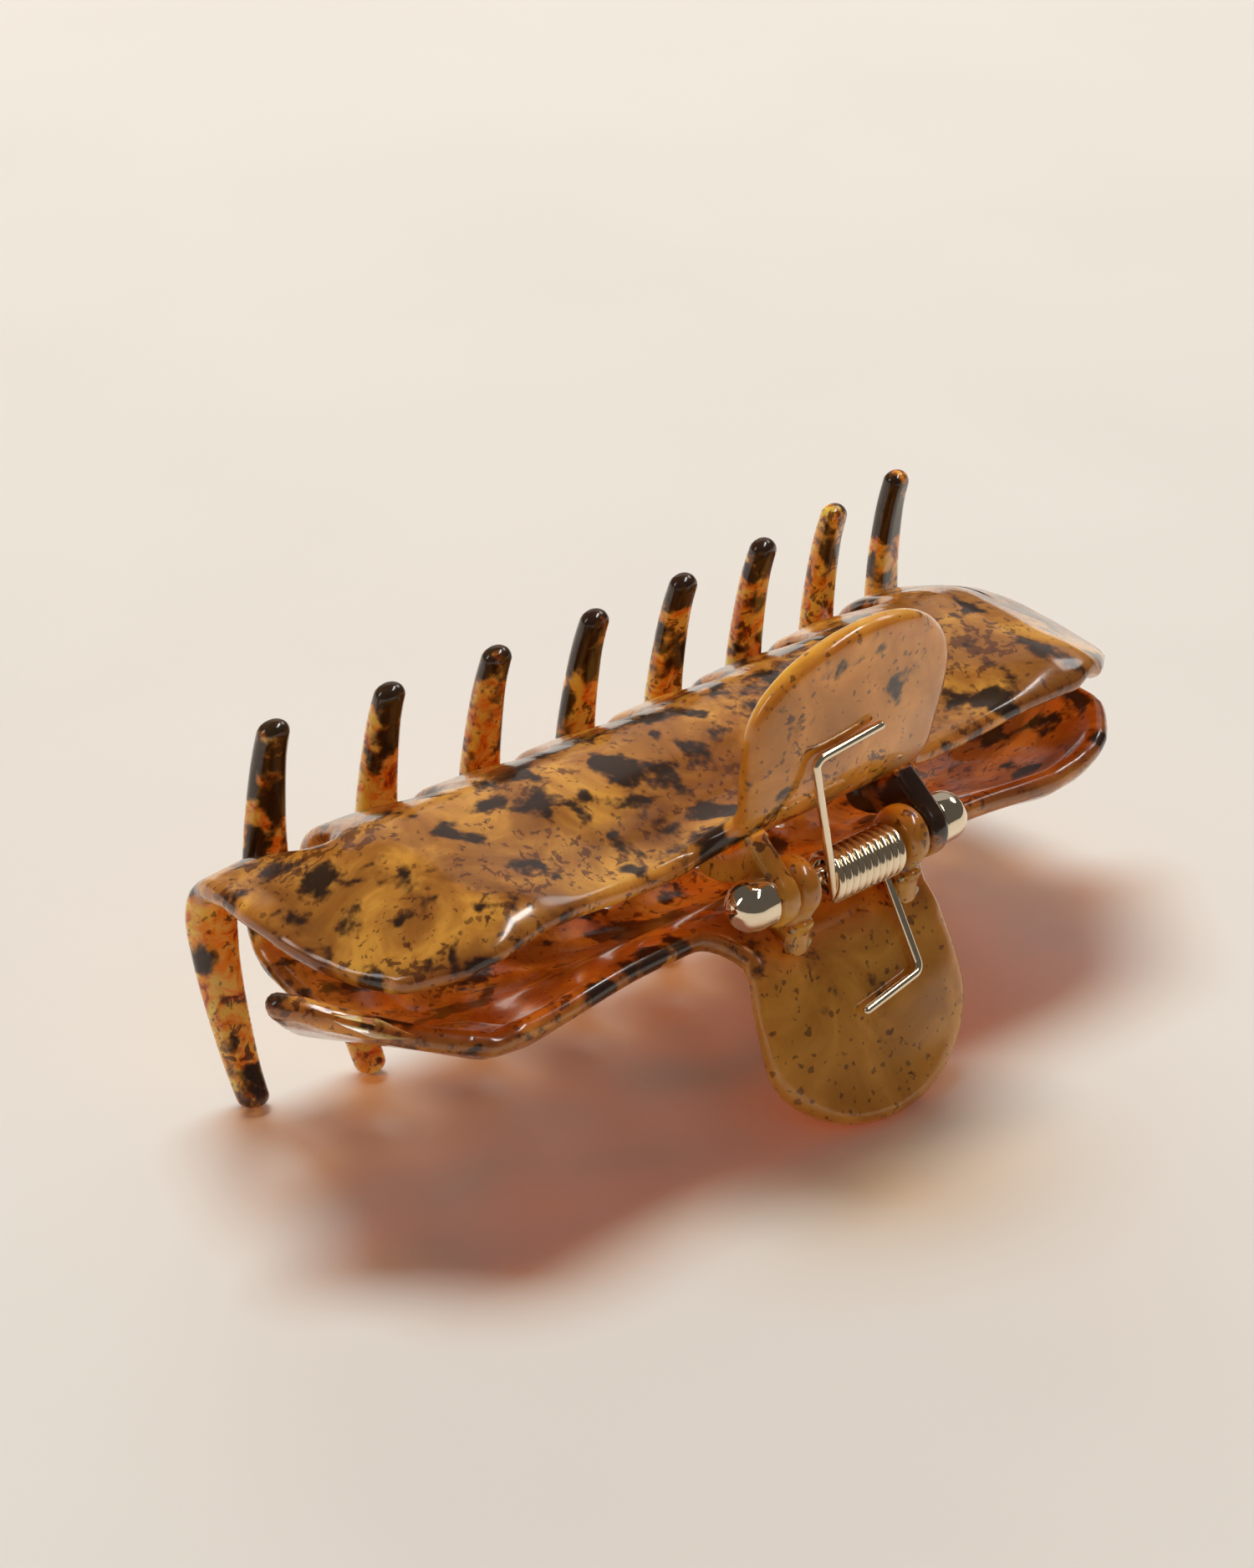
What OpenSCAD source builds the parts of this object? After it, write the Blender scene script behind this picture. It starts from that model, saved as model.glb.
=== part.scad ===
// Claw hair clip: two heat-bent sheet jaws with interlocking teeth, glued hinge lugs,
// a steel pin with domed caps and a torsion spring. Units: millimetres, +Z up.
// The clip lies closed on its upper teeth and on the end of its lower lever.

/* [Jaws] */
// Thickness of the bent sheet
sheet_t = 2.3; // [1.5:0.1:3]
// Distance between two neighbouring teeth of one jaw
tooth_pitch = 12.09; // [10:0.01:14]
// Number of teeth on each jaw
tooth_n = 8; // [8:8]
// Half width of a tooth just below its root
tooth_w = 2.05; // [1.6:0.05:2.4]
// Largest half width of the thumb lever
lever_w = 12.8; // [11:0.1:14]

/* [Hinge] */
// Diameter of the hinge pin
pin_d = 1.6; // [1.2:0.1:2]
// Radial running clearance of the pin in the inner lugs
pin_clear = 0.05; // [0.03:0.01:0.1]
// Inner face of the inner lugs, from the middle of the pin
inner_lug_x = 6.0; // [5.5:0.1:7]
// Thickness of an inner lug
inner_lug_t = 2.6; // [2:0.1:3]
// Inner face of the outer lugs, from the middle of the pin
outer_lug_x = 8.75; // [8:0.05:10]
// Thickness of an outer lug
outer_lug_t = 2.35; // [2:0.05:3]
// Radius of the domed end caps
cap_r = 2.5; // [2:0.1:3]

/* [Spring] */
// Wire diameter
wire_d = 0.9; // [0.6:0.05:1.2]
// Mean radius of the coil
coil_r = 2.15; // [1.8:0.05:2.6]
// Turns of the coil
coil_n = 10; // [6:1:12]

/* [Pose] */
// Height of the hinge pin above the table
pin_z = 24.2; // [20:0.01:30]
// Tilt of the closed clip about its hinge pin
tilt = -9.2; // [-15:0.1:5]

/* [Hidden] */
$fn = 48;

// ---- profile of the bent sheet, side view [away from hinge, above mid plane] ----
lever_pts = [[-4.5, 25.0], [-3.3, 21.5], [-2.4, 18.0], [-1.4, 14.0], [-0.3, 10.8]];
root_mid = [[1.0, 8.2], [3.3, 6.0], [6.3, 4.7], [9.5, 5.3], [12.5, 7.0], [16.0, 8.9], [21.0, 9.8]];
root_waist = [[1.6, 5.6], [3.7, 4.5], [6.3, 4.2], [9.5, 5.2], [12.5, 7.0], [16.0, 8.9], [21.0, 9.8]];
root_lobe = [[1.6, 0.8], [3.9, 3.0], [5.6, 5.6], [8.2, 7.0], [12.5, 8.0], [17.0, 9.1],
             [21.0, 9.6]];
tooth_pts = [[26.1, 8.0], [30.6, 6.1], [33.1, 3.9], [34.0, 0.9], [34.1, -2.4], [33.4, -6.5],
             [32.2, -11.0], [30.7, -15.5], [28.9, -19.4]];
prof_mid = concat(lever_pts, root_mid, tooth_pts);
prof_waist = concat(lever_pts, root_waist, tooth_pts);
prof_lobe = concat(lever_pts, root_lobe, tooth_pts);

// ---- drop of the ends, bow of the tooth line ----
drop_t = [[0, 0], [34, 0], [38, 0.6], [41, 1.9], [43.9, 3.7], [46.8, 5.7], [48.9, 6.4],
          [51, 7.0]];
drop_p = [[0, 0], [36, 0], [40, 0.9], [43.9, 2.9], [47, 4.6], [49.3, 6.0], [51, 7.0],
          [52.5, 8.2], [55.4, 10.2]];
// raise of the rolled back edge
rim_t = [[13, 0], [16, -0.2], [19, -0.3], [36.5, -0.1], [40.4, 0], [43.9, -0.3], [46.8, 0]];
rim_p = [[13, 0], [36, 0], [40, 0.6], [44, 0.4], [48, 1.0]];
drop_share = [[0, 1], [8, 1.03], [9.4, 1.0], [10.3, 0.93], [11, 0.82], [12.2, 0.42], [13, 0.3],
              [14, 0.2], [16, 0.12], [20, 0]];
bow_share = [[0, 0], [6.5, 0], [8, 0.12], [10, 0.45], [12, 0.85], [13, 1], [16, 1], [20, 1.38]];

function smooth(a, b, x) = let (t = min(max((x - a) / (b - a), 0), 1)) t * t * (3 - 2 * t);
function spline(c, s) =
    let (n = len(c) - 1,
         q = min(max(s, 0), n - 0.0001),
         i = floor(q),
         t = q - i,
         p1 = c[i],
         p2 = c[i + 1],
         p0 = i > 0 ? c[i - 1] : 2 * p1 - p2,
         p3 = i + 2 <= n ? c[i + 2] : 2 * p2 - p1)
    0.5 * (2 * p1 + (p2 - p0) * t + (2 * p0 - 5 * p1 + 4 * p2 - p3) * t * t
           + (3 * p1 - p0 - 3 * p2 + p3) * t * t * t);

// middle surface of the sheet at width x and arc station s
function middle(x, s) =
    let (a = smooth(11, 16, abs(x)),
         b = smooth(20, 38, abs(x)),
         prof = (prof_mid * (1 - a) + prof_waist * a) * (1 - b) + prof_lobe * b,
         p = spline(prof, s),
         bow = 2.9 * pow(x / 37.3, 2) * lookup(s, bow_share),
         cup = s < 6 ? 1.1 * pow(x / 13, 2) * (1 - smooth(3.5, 6, s)) : 0,
         drop = lookup(abs(x), x < 0 ? drop_t : drop_p) * lookup(s, drop_share),
         rim = lookup(abs(x), x < 0 ? rim_t : rim_p) * (1 - smooth(6.3, 9, s)) * smooth(5.4, 6.3, s),
         lift = 0.7 * pow(x / 45, 2) * max(s - 13, 0) / 7)
    [x, p[0] + bow + cup, p[1] - drop + lift + rim];
function unit(v) = v / norm(v);
function normal(x, s) =
    let (e = 0.02)
    unit(cross(middle(x + e, s) - middle(x - e, s),
               middle(x, min(s + e, 19.999)) - middle(x, max(s - e, 0))));

// ---- columns across the jaw: [x, tooth number or -1, place in tooth or gap] ----
root_s = 13;
gap_s = 11.6;
fillet_w = tooth_pitch / 4;
function tooth_x(k) = (k - 3.75) * tooth_pitch;
end_t = -50.2;
end_p = 55.4;
cols = concat(
    [[end_t, 0, -1], [-49.4, 0, -0.8], [-47.4, 0, -0.45], [-44.2, 0, 0.45], [tooth_x(0) + fillet_w, 0, 1]],
    [for (k = [1 : 7]) each concat(
        [for (f = [0.25, 0.5, 0.75]) [tooth_x(k) - tooth_pitch + fillet_w * (1 + 2 * f), -1, f]],
        [for (m = [-1, -0.55, 0.55, 1]) [tooth_x(k) + m * fillet_w, k, m]])],
    [[43.6, -1, 0.3], [45.6, -1, 0.5], [47.6, -1, 0.5], [49.8, -1, 0.5], [51.6, -1, 0.5],
     [53.1, -1, 0.5], [end_p, -1, 0.5]]);
nc = len(cols);
lever_c0 = [for (i = [0 : nc - 1]) if (cols[i][1] == 3 && cols[i][2] == -1) i][0];
lever_c1 = [for (i = [0 : nc - 1]) if (cols[i][1] == 5 && cols[i][2] == -1) i][0];

// ---- outline, as stations along the ends ----
out_t = [[0, 46.6], [0.15, 48.4], [0.3, 49.6], [0.45, 50.2], [0.6, 50.1], [0.8, 49.0],
         [0.92, 48.2], [1, 47.8]];
out_p = [[0, 48.6], [0.12, 51.6], [0.22, 54.0], [0.3, 55.1], [0.36, 55.4], [0.44, 54.4],
         [0.6, 51.4], [0.8, 48.2], [1, 45.8]];
function side_x(x, t) =
    x < tooth_x(0) + fillet_w
        ? let (a = -(tooth_x(0) + fillet_w)) -(a + (-x - a) / (-end_t - a) * (lookup(t, out_t) - a))
        : x > tooth_x(7) + fillet_w
            ? let (a = tooth_x(7) + fillet_w) a + (x - a) / (end_p - a) * (lookup(t, out_p) - a)
            : x;
function near_s(x) =
    x < -38.5 ? 6.35 + 1.75 * pow((-x - 38.5) / 11.7, 1.15)
    : x > 37.5 ? 6.35 + 2.15 * (x - 37.5) / 17.9
    : abs(x) <= tooth_pitch + 0.01 ? 5.4
    : 6.35 - 0.95 * pow(1 - min((abs(x) - tooth_pitch) / 3.6, 1), 3);
function last_s(c) =
    c[1] >= 0 ? root_s + 0.6
    : c[0] > 42.4 ? gap_s + (root_s + 0.6 - gap_s) * pow(max(1 - (c[0] - 42.3) / 4, 0), 2)
    : gap_s + (root_s + 0.6 - gap_s) * pow(abs(2 * c[2] - 1), 2.4);

rows_l = [0, 0.035, 0.12, 0.24, 0.36, 0.5, 0.64, 0.78, 0.9];
rows_b = [0, 0.03, 0.11, 0.2, 0.3, 0.4, 0.5, 0.6, 0.7, 0.79, 0.88, 0.955, 1];
rows_t = [0.06, 0.14, 0.26, 0.4, 0.54, 0.68, 0.8, 0.9, 0.96, 1];
nl = len(rows_l);
nb = len(rows_b);
nt = len(rows_t);
nr = nl + nb + nt;

function lever_half(s) =
    lookup(s, [[0, lever_w], [2.2, lever_w], [3.6, lever_w - 0.3], [4.8, 12.2], [5.4, 12.09]]);
function tooth_half(q) = lookup(q, [[0, tooth_w + 0.45], [0.06, tooth_w + 0.1], [0.14, tooth_w], [0.6, 1.6],
                                    [0.9, 1.2], [0.96, 0.95], [1, 0.4]]);
// [x, s] of grid point row r, column c
function place_xs(r, c) =
    r < nl
        ? let (xi = min(max(cols[c][0] / tooth_pitch, -1), 1),
               s0 = 2.6 * (1 - sqrt(max(1 - xi * xi, 0))),
               s = s0 + (5.4 - s0) * rows_l[r])
          [xi * lever_half(s), s]
    : r < nl + nb
        ? let (t = rows_b[r - nl], s0 = near_s(cols[c][0]))
          [side_x(cols[c][0], t), s0 + (last_s(cols[c]) - s0) * t]
        : let (q = rows_t[r - nl - nb],
               k = max(cols[c][1], 0),
               x0 = side_x(cols[c][0], 1),
               x1 = tooth_x(k) + cols[c][2] * tooth_half(q),
               b = k == 0 ? smooth(0, 0.2, q) : smooth(0, 0.05, q))
          [x0 + (x1 - x0) * b, root_s + 0.6 + (20 - root_s - 0.6) * q];
function cell(r, c) =
    r < 0 || c < 0 || r >= nr - 1 || c >= nc - 1 ? false
    : r < nl ? c >= lever_c0 && c < lever_c1
    : r < nl + nb - 1 ? true
    : cols[c][1] >= 0 && cols[c][1] == cols[c + 1][1];
function used(r, c) = cell(r, c) || cell(r - 1, c) || cell(r, c - 1) || cell(r - 1, c - 1);
function inside(r, c) = cell(r, c) && cell(r - 1, c) && cell(r, c - 1) && cell(r - 1, c - 1);
function half_t(r, c) = inside(r, c) ? sheet_t / 2 * (r > nl + nb + nt - 3 ? 0.85 : 1) : sheet_t / 2 * 0.42;

function id(r, c, side) = (r * nc + c) * 2 + side;
module jaw_solid() {
    pts = [for (r = [0 : nr - 1]) for (c = [0 : nc - 1])
        let (q = place_xs(r, c), m = middle(q[0], q[1]),
             n = used(r, c) ? normal(q[0], q[1]) * half_t(r, c) : [0, 0, 0.1])
        each [m + n, m - n]];
    tris = [for (r = [0 : nr - 2]) for (c = [0 : nc - 2]) if (cell(r, c)) each concat(
        [[id(r, c, 0), id(r + 1, c, 0), id(r + 1, c + 1, 0)],
         [id(r, c, 0), id(r + 1, c + 1, 0), id(r, c + 1, 0)],
         [id(r, c, 1), id(r + 1, c + 1, 1), id(r + 1, c, 1)],
         [id(r, c, 1), id(r, c + 1, 1), id(r + 1, c + 1, 1)]],
        cell(r - 1, c) ? [] : wall(r, c + 1, r, c),
        cell(r + 1, c) ? [] : wall(r + 1, c, r + 1, c + 1),
        cell(r, c - 1) ? [] : wall(r, c, r + 1, c),
        cell(r, c + 1) ? [] : wall(r + 1, c + 1, r, c + 1))];
    polyhedron(points = pts, faces = tris, convexity = 12);
}
function wall(r0, c0, r1, c1) =
    [[id(r0, c0, 1), id(r1, c1, 1), id(r1, c1, 0)], [id(r0, c0, 1), id(r1, c1, 0), id(r0, c0, 0)]];

// ---- placing ----
module posed() {
    translate([0, 0, pin_z]) rotate([tilt, 0, 0]) children();
}
// plate standing across the pin: outline in the side view, from x0 over a thickness t
module plate(x0, t) {
    translate([x0, 0, 0]) rotate([90, 0, 90]) linear_extrude(height = t) children();
}
module rod(a, b, d) {
    v = b - a;
    translate(a) rotate([0, acos(v[2] / norm(v)), atan2(v[1], v[0])])
        cylinder(h = norm(v), d = d, $fn = 24);
}

module upper_jaw() {
    color("#b5762a") posed() jaw_solid();
}
module lower_jaw() {
    color("#a86a24") posed() rotate([0, 180, 0]) jaw_solid();
}
// foot of the outer lug, from the eye to the face glued on the upper jaw
module outer_foot() {
    polygon([[-1.6, 2.0], [1.2, 6.1], [2.3, 5.2], [4.4, 3.75], [6.3, 3.35], [8.9, 3.7], [9.3, 2.0],
             [8.6, 0.5], [7.4, -0.1], [5.2, 0.3], [2.6, 0.4], [1.5, -1.5], [-1.5, -1.5]]);
}
module outer_lug(x0) {
    posed() translate([x0, 0, 0]) rotate([90, 0, 90]) difference() {
        union() {
            cylinder(h = outer_lug_t, r = 2.9);
            linear_extrude(height = outer_lug_t) outer_foot();
        }
        translate([0, 0, -1]) cylinder(h = outer_lug_t + 2, d = pin_d);
    }
}
module lug_outer_left() {
    color("#8a5a22") outer_lug(-outer_lug_x - outer_lug_t);
}
module lug_outer_right() {
    color("#2b1a10") outer_lug(outer_lug_x);
}
module inner_outline() {
    difference() {
        union() {
            circle(r = 3.05);
            polygon([[-2.6, -1.6], [-1.5, -4.0], [-0.6, -6.5], [1.2, -5.9], [3.4, -4.4], [3.9, -3.6],
                     [2.6, -1.6], [1.2, 1.4], [-1.2, 1.4]]);
        }
        circle(r = pin_d / 2 + pin_clear);
    }
}
module lug_inner_left() {
    color("#b5762a") posed() plate(-inner_lug_x - inner_lug_t, inner_lug_t) inner_outline();
}
module lug_inner_right() {
    color("#b5762a") posed() plate(inner_lug_x, inner_lug_t) inner_outline();
}
cap_x = outer_lug_x + outer_lug_t;
module hinge_pin() {
    color("#d8c49a") posed() rotate([0, 90, 0]) cylinder(h = 2 * cap_x + 2.4, d = pin_d, center = true);
}
module cap_body() {
    rotate([0, 90, 0]) rotate_extrude() difference() {
        union() {
            square([cap_r, 1.6]);
            intersection() {
                translate([0, 1.6]) circle(r = cap_r);
                translate([0, 1.6]) square([cap_r, cap_r]);
            }
        }
        translate([-1, -1]) square([pin_d / 2 + 1, 2.2]);
    }
}
module cap_left() {
    color("#e2cfa6") posed() translate([-cap_x, 0, 0]) rotate([0, 0, 180]) cap_body();
}
module cap_right() {
    color("#e2cfa6") posed() translate([cap_x, 0, 0]) cap_body();
}
coil_u = -0.3;
coil_v = -0.5;
coil_x0 = -3.72;
module spring_coil() {
    color("#dcc79a") posed() translate([coil_x0, coil_u, coil_v]) rotate([0, 90, 0])
        rotate_extrude() for (i = [0 : coil_n - 1])
            translate([coil_r, i * wire_d]) circle(d = wire_d * 1.03, $fn = 20);
}
module spring_arm_upper() {
    color("#dcc79a") posed() {
        rod([-4.55, 1.1, 1.1], [-6.0, -2.7, 12.64], wire_d);
        translate([-6.0, -2.7, 12.64]) sphere(d = wire_d * 1.02, $fn = 24);
        rod([-6.0, -2.7, 12.64], [1.9, -3.32, 13.79], wire_d);
    }
}
module spring_arm_lower() {
    color("#dcc79a") posed() {
        rod([5.3, 1.1, -1.1], [6.0, -2.7, -12.64], wire_d);
        translate([6.0, -2.7, -12.64]) sphere(d = wire_d * 1.02, $fn = 24);
        rod([6.0, -2.7, -12.64], [-1.9, -3.32, -13.79], wire_d);
    }
}

upper_jaw();
lower_jaw();
lug_outer_left();
lug_outer_right();
lug_inner_left();
lug_inner_right();
hinge_pin();
cap_left();
cap_right();
spring_coil();
spring_arm_upper();
spring_arm_lower();
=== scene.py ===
import math

import bmesh
import bpy
import numpy as np
from mathutils import Euler, Matrix, Vector


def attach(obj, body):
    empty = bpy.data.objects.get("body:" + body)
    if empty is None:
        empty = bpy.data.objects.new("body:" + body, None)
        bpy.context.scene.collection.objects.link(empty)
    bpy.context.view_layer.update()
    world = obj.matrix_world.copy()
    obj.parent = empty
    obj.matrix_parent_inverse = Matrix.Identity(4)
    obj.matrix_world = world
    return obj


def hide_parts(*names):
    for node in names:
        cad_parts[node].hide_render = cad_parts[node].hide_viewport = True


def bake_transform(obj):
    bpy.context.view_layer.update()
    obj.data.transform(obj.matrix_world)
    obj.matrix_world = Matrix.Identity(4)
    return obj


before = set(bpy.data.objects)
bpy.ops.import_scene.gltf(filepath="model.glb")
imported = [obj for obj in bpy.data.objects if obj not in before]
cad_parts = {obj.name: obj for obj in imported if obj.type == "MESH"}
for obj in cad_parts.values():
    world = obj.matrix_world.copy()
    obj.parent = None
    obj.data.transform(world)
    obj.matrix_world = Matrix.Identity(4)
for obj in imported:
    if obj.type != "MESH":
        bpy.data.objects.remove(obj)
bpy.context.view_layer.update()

MM = 0.001

# ---------------------------------------------------------------- the clip, in millimetres
# The clip's own axes start at the pin: x along it, u from the levers to the teeth, v up.
SHEET_T = 2.3  # thickness of the bent sheet
TEETH = 8
PITCH = 12.09  # from tooth to tooth
MIDDLE = 3.75  # the clip's middle, counted in teeth from the first
FILLET_W = PITCH / 4  # half the width of a tooth where it leaves the body
TIP_SHARE = 0.045  # share of a tooth that its round tip takes
LEVER_W = 13.1  # half the width of a finger lever
LEVER_ROUND = 2.6  # stations that the rounded end of a lever takes
PIN_Z = 24.2  # height of the pin over the table
TILT = -9.2  # degrees that the clip leans about the pin
PIN_D = 1.6
INNER_X, INNER_T, INNER_EDGE = 6.0, 2.6, 1.1  # inner face, thickness and edge radius of an inner lug
OUTER_X, OUTER_T, OUTER_EDGE = 8.75, 2.35, 0.7  # the same for an outer lug
CAP_GAP = 0.02  # between an outer lug and its cap
CAP_R = 2.5
CAP_BACK = 0.9  # radius of the middle of a cap's flat back
CAP_EDGE = 0.28  # radius of a cap's back edge
CAP_RIM = 1.7  # length of a cap's straight part
CAP_DOME = CAP_R * 0.98
WIRE_D = 0.9
COIL_R = 2.15  # to the middle of the wire
COIL_X = (-3.5, 5.1)  # both ends of the coil
COIL_U, COIL_V = -0.3, -0.5  # the coil hangs on the pin, a little off its axis
COIL_TURNS = 9.6
COIL_START = 0.30  # angle of the first turn, in radians
ARM_BEND = (-6.0, -2.7, 12.64)  # corner of the upper spring arm
ARM_HOOK = (1.9, -3.32, 13.79)  # its free end, on the lever
ARM_BEND_R = 0.9
AS_DRAWN = (1, 1, 1)
HALF_TURN = (-1, 1, -1)  # the lower jaw and spring arm are the upper ones, turned half way round about u

POSE = Matrix.Translation((0, 0, PIN_Z * MM)) @ Matrix.Rotation(math.radians(TILT), 4, "X")

# The sheet in the side view: control points (u, v) of one spline, from the lever's end to a tooth's tip.
# A station s counts them. The bend between lever and teeth differs at the middle, the waist and the lobes.
LEVER_PTS = [(-4.5, 25.0), (-3.3, 21.5), (-2.4, 18.0), (-1.4, 14.0), (-0.3, 10.8)]
ROOT_MID = [(1.0, 8.2), (3.3, 6.0), (6.3, 4.7), (9.5, 5.3), (12.5, 7.0), (16.0, 8.9), (21.0, 9.8)]
ROOT_WAIST = [(1.6, 5.6), (3.7, 4.5), (6.3, 4.2), (9.5, 5.2), (12.5, 7.0), (16.0, 8.9), (21.0, 9.8)]
ROOT_LOBE = [(1.6, 0.8), (3.9, 3.0), (5.6, 5.6), (8.2, 7.0), (12.5, 8.0), (17.0, 9.1), (21.0, 9.6)]
TOOTH_PTS = [(26.1, 8.0), (30.6, 6.1), (33.1, 3.9), (34.0, 0.9), (34.1, -2.4), (33.4, -6.5),
             (32.2, -11.0), (30.7, -15.5), (28.9, -19.4)]
PROFILE_MID = np.array(LEVER_PTS + ROOT_MID + TOOTH_PTS)
PROFILE_WAIST = np.array(LEVER_PTS + ROOT_WAIST + TOOTH_PTS)
PROFILE_LOBE = np.array(LEVER_PTS + ROOT_LOBE + TOOTH_PTS)
TO_WAIST = (11, 16)  # distances from the middle between which the mid profile turns into the waist
TO_LOBE = (20, 38)  # and the waist into the lobe
S_LEVER = 5.4  # station where a lever joins the body
S_EDGE = 6.35  # the body's free edge beside a lever
S_GAP = 11.6  # bottom of the gap between two teeth
S_ROOT = 13.0  # where a tooth starts to lift
S_TEETH = S_ROOT + 0.6  # from here on the teeth are apart
S_TIP = len(PROFILE_MID) - 1

# Tables of places and values. T is the end with a tooth at its corner, and P is the end that runs on past
# its last tooth.
# Over the distance from the middle: how far the lobes bend down, and how far their free edge lifts.
DROP_T = ([0, 34, 38, 41, 43.9, 46.8, 48.9, 51], [0, 0, 0.6, 1.9, 3.7, 5.7, 6.4, 7.0])
DROP_P = ([0, 36, 40, 43.9, 47, 49.3, 51, 52.5, 55.4], [0, 0, 0.9, 2.9, 4.6, 6.0, 7.0, 8.2, 10.2])
RIM_T = ([13, 16, 19, 36.5, 40.4, 43.9, 46.8], [0, -0.2, -0.3, -0.1, 0, -0.3, 0])
RIM_P = ([13, 36, 40, 44, 48], [0, 0, 0.6, 0.4, 1.0])
# Over the station: the share of that drop, and of the bow along the jaw.
DROP_SHARE = ([0, 8, 9.4, 10.3, 11, 12.2, 13, 14, 16, 20],
              [1, 1.03, 1.0, 0.93, 0.82, 0.42, 0.3, 0.2, 0.12, 0])
BOW_SHARE = ([0, 6.5, 8, 10, 12, 13, 16, 20], [0, 0, 0.12, 0.45, 0.85, 1, 1, 1.38])
# Outline of both ends, from the free edge (0) to the tooth roots (1).
END_T, END_P = 50.2, 55.4
OUT_T = ([0, 0.15, 0.3, 0.45, 0.6, 0.8, 0.92, 1], [46.6, 48.4, 49.6, 50.2, 50.1, 49.0, 48.2, 47.8])
OUT_P = ([0, 0.12, 0.22, 0.3, 0.36, 0.44, 0.6, 0.8, 1],
         [48.6, 51.6, 54.0, 55.1, 55.4, 54.4, 51.4, 48.2, 45.8])
# Half widths: of a tooth from its root (0) to its tip (1), and of a lever over the station.
TOOTH_HALF = ([0, 0.06, 0.14, 0.35, 0.6, 0.85, 1], [2.9, 2.85, 2.75, 2.45, 2.05, 1.65, 1.5])
LEVER_HALF = ([0, 2.2, 3.6, 4.8, 5.4], [LEVER_W, LEVER_W, LEVER_W - 0.3, 12.25, 12.09])
BOW, BOW_AT = 2.9, 37.3  # the jaw bows this far towards the teeth at this distance from the middle
CUP, CUP_AT = 1.1, 13  # the lever's sides stand this far off its middle line, at this distance from it
CUP_FADE = (3.5, 6)  # stations between which that cup flattens out
RIM_FADE = (6.3, 9.0)  # stations between which the lift of the free edge dies out
TIP_LIFT, TIP_LIFT_AT = 0.7, 45  # the tips of the end teeth stand this much higher
LOBE_T, LOBE_P = 38.5, 37.5  # from these distances out, the lobes' free edge runs back towards the teeth
BACK_T, BACK_P = 1.75, 2.15  # by this many stations at the very ends
CORNER_P, CORNER_W = 42.3, 4.0  # start and width of the round corner beyond the last tooth at the P end
NOTCH_POWER = 2.4  # how square the notch between two teeth is
LEVER_SIDE = 3.6  # width of the curve from a lever's side into the free edge
LEVER_LEN, BODY_LEN = 18, 27  # rough lengths along the sheet, for the steps of its rolled edges
LEVER_FADE = (4.2, 6.5)  # stations between which a lever's colour turns into the body's


def interp(x, table):
    return np.interp(x, table[0], table[1])


def smooth(a, b, x):
    t = np.clip((x - a) / (b - a), 0, 1)
    return t * t * (3 - 2 * t)


def spline(points, s):
    """Catmull-Rom spline through the points, at stations s."""
    last = len(points) - 1
    q = np.clip(s, 0, last - 1e-6)
    i = q.astype(int)
    t = (q - i)[:, None]
    ext = np.vstack([2 * points[0] - points[1], points, 2 * points[-1] - points[-2]])
    p0, p1, p2, p3 = ext[i], ext[i + 1], ext[i + 2], ext[i + 3]
    return 0.5 * (2 * p1 + (p2 - p0) * t + (2 * p0 - 5 * p1 + 4 * p2 - p3) * t * t
                  + (3 * p1 - p0 - 3 * p2 + p3) * t ** 3)


def middle(x, s):
    """Middle surface of the bent sheet at width x and station s."""
    ax = np.abs(x)
    to_waist = smooth(*TO_WAIST, ax)[:, None]
    to_lobe = smooth(*TO_LOBE, ax)[:, None]
    p = spline(PROFILE_MID, s) * (1 - to_waist) + spline(PROFILE_WAIST, s) * to_waist
    p = p * (1 - to_lobe) + spline(PROFILE_LOBE, s) * to_lobe
    bow = BOW * (x / BOW_AT) ** 2 * interp(s, BOW_SHARE)
    cup = CUP * (x / CUP_AT) ** 2 * (1 - smooth(*CUP_FADE, s))
    drop = np.where(x < 0, interp(ax, DROP_T), interp(ax, DROP_P)) * interp(s, DROP_SHARE)
    near_edge = (1 - smooth(*RIM_FADE, s)) * smooth(S_LEVER, RIM_FADE[0], s)
    rim = np.where(x < 0, interp(ax, RIM_T), interp(ax, RIM_P)) * near_edge
    lift = TIP_LIFT * (x / TIP_LIFT_AT) ** 2 * np.maximum(s - S_ROOT, 0) / (S_TIP - S_ROOT)
    return np.stack([x, p[:, 0] + bow + cup, p[:, 1] - drop + lift + rim], 1)


def normals(x, s, e=0.05):
    dx = middle(x + e, s) - middle(x - e, s)
    ds = middle(x, np.minimum(s + e, S_TIP - 1e-3)) - middle(x, np.maximum(s - e, 0))
    n = np.cross(dx, ds)
    return n / np.linalg.norm(n, axis=1)[:, None]


def tooth_x(k):
    return (k - MIDDLE) * PITCH


def edge_steps(length, count):
    """Steps 0..1 over the first half thickness of a length, close together where the edge rolls over."""
    return SHEET_T / 2 / length * (1 - np.cos(np.linspace(0, math.pi / 2, count)))


def one_end(length, n_edge, n_mid):
    edge = edge_steps(length, n_edge)
    return np.concatenate([edge, np.linspace(edge[-1], 1, n_mid)[1:]])


def both_ends(length, n_edge, n_mid):
    edge = edge_steps(length, n_edge)
    between = np.linspace(edge[-1], 1 - edge[-1], n_mid)[1:-1]
    return np.concatenate([edge, between, (1 - edge)[::-1]])


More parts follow.
